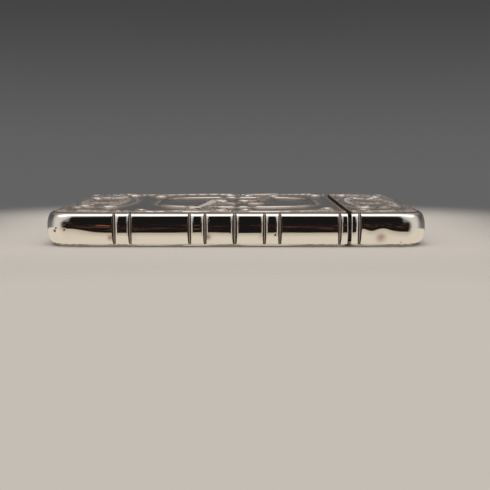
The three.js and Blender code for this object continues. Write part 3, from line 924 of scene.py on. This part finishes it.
def hinge_knuckle(name, part, material):
    """A hinge tube with a lug to its own band, dressed to the swelling of the edge."""
    low, high = node_box(name)
    bare_side = np.linspace(-math.pi, -LUG_BRINK, BARE_SIDE_POINTS)
    lug_side = np.linspace(0, math.pi, LUG_SIDE_POINTS)[:-1]
    angles = np.concatenate([bare_side, lug_side])
    rounding = []
    for share in np.linspace(0, 1, KNUCKLE_ROUND_ROWS):
        rounding.append((KNUCKLE_ROUND * share, KNUCKLE_ROUND * (1 - math.sqrt(1 - (1 - share)**2))))
    straight = np.linspace(low[2] + KNUCKLE_ROUND, high[2] - KNUCKLE_ROUND, KNUCKLE_ROWS)
    rings = [(low[2] + up, inset) for up, inset in rounding]
    rings.extend((z, 0) for z in straight[1:])
    rings.extend((high[2] - down, inset) for down, inset in reversed(rounding[:-1]))
    points = []
    for z, inset in rings:
        rise = min(1, abs(z - MIDDLE_Z) / SHOULDER_RISE)
        skin = HALF_WIDTH - BAND_CROWN * (1 - math.sqrt(1 - rise * rise)) - inset
        for angle in angles:
            reach = knuckle_reach(angle) - inset
            points.append((
                HINGE_X + part * reach * math.cos(angle),
                min(HINGE_Y + reach * math.sin(angle), skin),
                z,
            ))
    bore = PIN_RADIUS + PIN_CLEARANCE
    for z in (high[2], low[2]):
        for angle in angles:
            x = HINGE_X + part * bore * math.cos(angle)
            points.append((x, HINGE_Y + bore * math.sin(angle), z))
    faces = grid_faces(len(rings) + 2, len(angles), wrap_columns=True, wrap_rows=True)
    tube = name.replace("hinge_knuckle", "knuckle_tube")
    make_piece(tube, points, faces, material, BODY_NAMES[part], name)


def hinge_pin(material):
    """The pin, with a low dome at each end."""
    profile = []
    for angle in np.linspace(PIN_TIP, math.pi / 2, PIN_DOME_ROWS):
        z = pin_high[2] - PIN_DOME * (1 - math.cos(angle))
        profile.append((PIN_RADIUS * math.sin(angle), z))
    lower = [(radius, pin_low[2] + pin_high[2] - z) for radius, z in reversed(profile)]
    points = []
    for radius, z in profile + lower:
        for index in range(PIN_SEGMENTS):
            angle = 2 * math.pi * index / PIN_SEGMENTS
            x = HINGE_X + radius * math.cos(angle)
            points.append((x, HINGE_Y + radius * math.sin(angle), z))
    rows = len(profile) * 2
    faces = grid_faces(rows, PIN_SEGMENTS, wrap_columns=True)
    faces.append(tuple(reversed(range(PIN_SEGMENTS))))
    faces.append(tuple(range((rows - 1) * PIN_SEGMENTS, rows * PIN_SEGMENTS)))
    make_piece("pin_wire", points, faces, material, "body", "hinge_pin")


# Materials

SILVER = (0.95, 0.925, 0.885, 1)
INNER_SILVER = (0.8, 0.77, 0.72, 1)
TARNISH = (0.52, 0.4, 0.345, 1)
# near black, for grime in pits and for painted shade in seams, groove walls and the joint
GRIME_AND_SHADE = (0.02, 0.016, 0.014, 1)
STEEL = (0.5, 0.49, 0.48, 1)
RUST = (0.2, 0.14, 0.1, 1)
CLOUD_SCALE = 160
HAIRLINE_SCALES = (60, 900, 900)
HAIRLINE_DEPTH = 0.00002
HAIRLINE_ROUGHNESS = 0.05
PUNCH_SCALE = 1900
PUNCH_DEPTH = 0.00006
PUNCH_ROUGHNESS = 0.16


def add_node(tree, kind, inputs=None, **settings):
    """A shader node with its settings, and with values or links on its inputs."""
    made = tree.nodes.new(kind)
    for key, value in settings.items():
        setattr(made, key, value)
    for socket, value in (inputs or {}).items():
        if isinstance(value, bpy.types.NodeSocket):
            tree.links.new(value, made.inputs[socket])
        else:
            made.inputs[socket].default_value = value
    return made


def math_node(tree, operation, *values):
    """Result of a math node."""
    return add_node(tree, "ShaderNodeMath", dict(enumerate(values)), operation=operation).outputs[0]


def ramp_between(tree, value, low, high, to_low=0, to_high=1):
    """A value carried smoothly from one range to another, and clamped."""
    inputs = {"Value": value, "From Min": low, "From Max": high, "To Min": to_low, "To Max": to_high}
    made = add_node(tree, "ShaderNodeMapRange", inputs, interpolation_type="SMOOTHSTEP")
    return made.outputs["Result"]


def mix_colours(tree, share, first, second):
    """A colour between two, by share."""
    inputs = {"Factor_Float": share, "A_Color": first, "B_Color": second}
    made = tree.nodes.new("ShaderNodeMix")
    made.data_type = "RGBA"
    for socket in made.inputs:
        value = inputs.get(socket.identifier)
        if isinstance(value, bpy.types.NodeSocket):
            tree.links.new(value, socket)
        elif value is not None:
            socket.default_value = value
    return next(socket for socket in made.outputs if socket.identifier == "Result_Color")


def noise_node(tree, place, scale, detail):
    """Result of a noise texture."""
    inputs = {"Vector": place, "Scale": scale, "Detail": detail}
    return add_node(tree, "ShaderNodeTexNoise", inputs).outputs["Fac"]


def scaled_node(tree, place, scales):
    """A place scaled along each axis."""
    inputs = {"Vector": place, "Scale": scales}
    return add_node(tree, "ShaderNodeMapping", inputs).outputs["Vector"]


def mark_node(tree, mark):
    """A mark of the mesh."""
    return add_node(tree, "ShaderNodeAttribute", attribute_name=mark).outputs["Fac"]


def bump_node(tree, height, strength, distance, **below):
    """Normal of a bumped surface, over another normal if one is given."""
    inputs = {"Height": height, "Strength": strength, "Distance": distance, **below}
    return add_node(tree, "ShaderNodeBump", inputs).outputs["Normal"]


def metal_material(name, clean, dull, roughness, dull_roughness, scratch, dull_metal=0.6, grain=0):
    """Polished metal with hairline scratches.

    It is tarnished where the mesh's tarnish mark is high, and punched where its matting mark is high.
    That mark also holds painted shade, which turns seams, groove walls and the joint black.
    """
    material = bpy.data.materials.new(name)
    material.use_nodes = True
    tree = material.node_tree
    shader = tree.nodes["Principled BSDF"]
    place = add_node(tree, "ShaderNodeTexCoord").outputs["Object"]
    cloud = noise_node(tree, place, CLOUD_SCALE, detail=4)
    tarnish_and_shade = mark_node(tree, "tarnish_and_shade")
    uneven = math_node(tree, "MULTIPLY", tarnish_and_shade, ramp_between(tree, cloud, 0.25, 0.6, 0.6, 1))
    film_and_shade = math_node(tree, "ADD", uneven, ramp_between(tree, cloud, 0.55, 0.8, 0, 0.05))
    # Tarnish turns the colour brown; the highest marks turn it near black, for grime in pits and for
    # painted shade in seams, groove walls and the joint
    stained_and_shaded = mix_colours(tree, ramp_between(tree, film_and_shade, 0, 0.5), clean, dull)
    colour = mix_colours(tree, ramp_between(tree, film_and_shade, 0.55, 1), stained_and_shaded, GRIME_AND_SHADE)
    tree.links.new(colour, shader.inputs["Base Color"])
    bright = ramp_between(tree, film_and_shade, 0.3, 0.5, 1, dull_metal)
    tree.links.new(bright, shader.inputs["Metallic"])

    hairlines = noise_node(tree, scaled_node(tree, place, HAIRLINE_SCALES), scale=4, detail=6)
    polish = ramp_between(tree, hairlines, 0.35, 0.75, roughness, roughness + HAIRLINE_ROUGHNESS)
    rough = math_node(tree, "ADD", polish, math_node(tree, "MULTIPLY", uneven, dull_roughness))
    normal = bump_node(tree, hairlines, scratch, HAIRLINE_DEPTH)
    if grain:
        ground = mark_node(tree, "matting")
        punch_inputs = {"Vector": place, "Scale": PUNCH_SCALE}
        punch = add_node(tree, "ShaderNodeTexVoronoi", punch_inputs).outputs["Distance"]
        height = math_node(tree, "MULTIPLY", punch, ground)
        normal = bump_node(tree, height, grain, PUNCH_DEPTH, Normal=normal)
        matt = math_node(tree, "MULTIPLY", ground, PUNCH_ROUGHNESS)
        rough = math_node(tree, "ADD", rough, matt)
    tree.links.new(rough, shader.inputs["Roughness"])
    tree.links.new(normal, shader.inputs["Normal"])
    return material


band_silver = metal_material(
    "band_silver", SILVER, TARNISH, roughness=0.045, dull_roughness=0.4, scratch=0.04, dull_metal=0.12,
)
plate_silver = metal_material(
    "plate_silver", SILVER, TARNISH, roughness=0.17, dull_roughness=0.35, scratch=0.1, grain=0.5,
)
inner_silver = metal_material(
    "inner_silver", INNER_SILVER, TARNISH, roughness=0.16, dull_roughness=0.3, scratch=0.15,
)
pin_steel = metal_material(
    "pin_wire_steel", STEEL, RUST, roughness=0.28, dull_roughness=0.3, scratch=0.2,
)


# Object

for part in (BODY, LID):
    edge_band(part, band_silver)
    chased_plate(part, True, plate_silver)
    chased_plate(part, False, plate_silver)
mouth_collar(inner_silver)
hinge_knuckle("hinge_knuckle_body_lower", BODY, band_silver)
hinge_knuckle("hinge_knuckle_body_upper", BODY, band_silver)
hinge_knuckle("hinge_knuckle_lid", LID, band_silver)
hinge_pin(pin_steel)


# Stage: pale floor, soft studio all round, and the photograph's camera

FRONT_DARK = (0.009, 0.008, 0.008, 1)
FRONT_WARM = (0.75, 0.26, 0.155, 1)
SIDE_FILL = (0.24, 0.233, 0.225, 1)
BACKDROP_LOW = (0.15, 0.148, 0.146, 1)
BACKDROP_HIGH = (0.08, 0.08, 0.08, 1)
CANOPY = (0.63, 0.52, 0.45, 1)
SIDE_PANEL = (0.6, 0.575, 0.53, 1)
PANEL_LEAN = 1.2
OVERHEAD = (1.2, 1.19, 1.17, 1)
FLOOR_NEAR = (0.68, 0.61, 0.51, 1)
FLOOR_FAR = (0.48, 0.415, 0.32, 1)
SEEN_LOW = (0.56, 0.515, 0.46, 1)
SEEN_HIGH = (0.125, 0.125, 0.125, 1)
SEEN_TOP = (0.05, 0.05, 0.05, 1)
FLOOR = (0.64, 0.6, 0.55, 1)
FLOOR_REACH = 1.2
FADE_START = 0.004  # from the case's sides to where the floor starts to fade
FADE_END = 0.07


def studio_world():
    """A soft studio by direction, which the silver reflects. The camera sees a plain backdrop instead."""
    world = bpy.data.worlds.new("studio")
    bpy.context.scene.world = world
    world.use_nodes = True
    tree = world.node_tree
    ramp = functools.partial(ramp_between, tree)
    mix = functools.partial(mix_colours, tree)
    way = add_node(tree, "ShaderNodeTexCoord").outputs["Generated"]
    parts = add_node(tree, "ShaderNodeSeparateXYZ", {"Vector": way}).outputs
    rise = parts["Z"]
    behind = parts["Y"]
    forward = math_node(tree, "MULTIPLY", behind, -1)
    over = math_node(tree, "ARCTAN2", rise, forward)
    aside = math_node(tree, "ARCTAN2", math_node(tree, "ABSOLUTE", parts["X"]), forward)

    def both(first, second):
        """Product of two values."""
        return math_node(tree, "MULTIPLY", first, second)

    def turn(value, low, high, to_low=0, to_high=1):
        """An angle carried smoothly from a range in degrees to another range."""
        return ramp(value, math.radians(low), math.radians(high), to_low, to_high)

    def between(value, low, high, soft):
        """1 between two angles in degrees, with soft ends."""
        return both(turn(value, low - soft, low + soft), turn(value, high - soft, high + soft, 1, 0))

    # Dark front with warm streaks, and a dim fill above it at the sides
    streaks = noise_node(tree, scaled_node(tree, way, (26, 1, 32)), scale=1, detail=2)
    warm = both(between(over, -9, 8, 4), ramp(streaks, 0.62, 0.7))
    colour = mix(warm, FRONT_DARK, FRONT_WARM)
    fill = both(between(aside, 28, 180, 8), ramp(rise, 0.12, 0.4))
    colour = mix(fill, colour, SIDE_FILL)

    # Grey backdrop under a patchy canopy
    backdrop = mix(ramp(rise, -0.1, 0.2), BACKDROP_LOW, BACKDROP_HIGH)
    colour = mix(ramp(behind, 0.05, 0.3), colour, backdrop)
    patches = ramp(noise_node(tree, way, scale=5, detail=2), 0.4, 0.62, 0.3, 1)
    canopy = both(ramp(rise, 0.22, 0.95), ramp(behind, 0, 0.2))
    colour = mix(both(canopy, patches), colour, CANOPY)

    # Panels at the sides, which come round to the front as they rise
    round_front = math_node(tree, "ADD", aside, both(both(rise, rise), PANEL_LEAN))
    left_right = both(turn(round_front, 47, 68), turn(aside, 82, 115, 1, 0))
    panels = both(left_right, ramp(rise, 0.65, 0.9, 1, 0))
    colour = mix(panels, colour, SIDE_PANEL)

    # Lamp overhead
    overhead = both(between(over, 57, 98, 2), ramp(rise, 0.45, 0.6))
    colour = mix(overhead, colour, OVERHEAD)

    # Pale floor, which reaches higher at the sides
    lift = turn(aside, 40, 100, 0, 0.16)
    below = math_node(tree, "SUBTRACT", rise, lift)
    down = math_node(tree, "SUBTRACT", rise, both(lift, 3))
    pale = mix(ramp(down, -0.6, -0.29), FLOOR_NEAR, FLOOR_FAR)
    colour = mix(ramp(below, -0.28, -0.315), colour, pale)

    # Plain backdrop for the camera
    seen = mix(ramp(rise, -0.18, -0.08), SEEN_LOW, SEEN_HIGH)
    seen = mix(ramp(rise, -0.06, 0.2), seen, SEEN_TOP)
    to_camera = add_node(tree, "ShaderNodeLightPath").outputs["Is Camera Ray"]
    colour = mix(to_camera, colour, seen)
    tree.links.new(colour, tree.nodes["Background"].inputs["Color"])


def pale_floor():
    """The floor under the case, which fades out into the backdrop."""
    mesh = bpy.data.meshes.new("floor")
    corners = [(x * FLOOR_REACH, y * FLOOR_REACH, 0) for x, y in ((-1, -1), (1, -1), (1, 1), (-1, 1))]
    mesh.from_pydata(corners, [], [(0, 1, 2, 3)])
    material = bpy.data.materials.new("pale_floor")
    material.use_nodes = True
    tree = material.node_tree
    shader = tree.nodes["Principled BSDF"]
    shader.inputs["Base Color"].default_value = FLOOR
    shader.inputs["Roughness"].default_value = 0.9
    shader.inputs["Specular IOR Level"].default_value = 0.1
    place = add_node(tree, "ShaderNodeTexCoord").outputs["Object"]
    sides = add_node(tree, "ShaderNodeSeparateXYZ", {"Vector": place}).outputs
    squares = []
    for axis, half in (("X", CASE_END), ("Y", HALF_WIDTH)):
        beyond = math_node(tree, "SUBTRACT", math_node(tree, "ABSOLUTE", sides[axis]), half * MM)
        past = math_node(tree, "MAXIMUM", beyond, 0)
        squares.append(math_node(tree, "MULTIPLY", past, past))
    away = math_node(tree, "SQRT", math_node(tree, "ADD", *squares))
    fade = ramp_between(tree, away, FADE_START, FADE_END)
    clear = add_node(tree, "ShaderNodeBsdfTransparent").outputs["BSDF"]
    mixed_inputs = {0: fade, 1: shader.outputs["BSDF"], 2: clear}
    mixed = add_node(tree, "ShaderNodeMixShader", mixed_inputs).outputs["Shader"]
    tree.links.new(mixed, tree.nodes["Material Output"].inputs["Surface"])
    mesh.materials.append(material)
    floor = bpy.data.objects.new("floor", mesh)
    floor.visible_glossy = False
    bpy.context.collection.objects.link(floor)


def soft_lamp():
    """A broad lamp overhead, which lights the floor and casts the case's soft shadow."""
    light = bpy.data.lights.new("soft_lamp", "AREA")
    light.size = 0.7
    light.energy = 3
    lamp = bpy.data.objects.new("soft_lamp", light)
    lamp.location = (0, -0.1, 0.9)
    lamp.visible_glossy = False
    bpy.context.collection.objects.link(lamp)


def photo_camera():
    """The camera at the photograph's viewing angle."""
    data = bpy.data.cameras.new("camera")
    data.lens = CAMERA_LENS
    data.clip_start = 0.005
    camera = bpy.data.objects.new("camera", data)
    camera.location = CAMERA_PLACE
    camera.rotation_euler = (math.pi / 2 - CAMERA_PITCH, 0, 0)
    bpy.context.collection.objects.link(camera)
    bpy.context.scene.camera = camera


studio_world()
pale_floor()
soft_lamp()
photo_camera()
bpy.context.scene.view_settings.view_transform = "Standard"
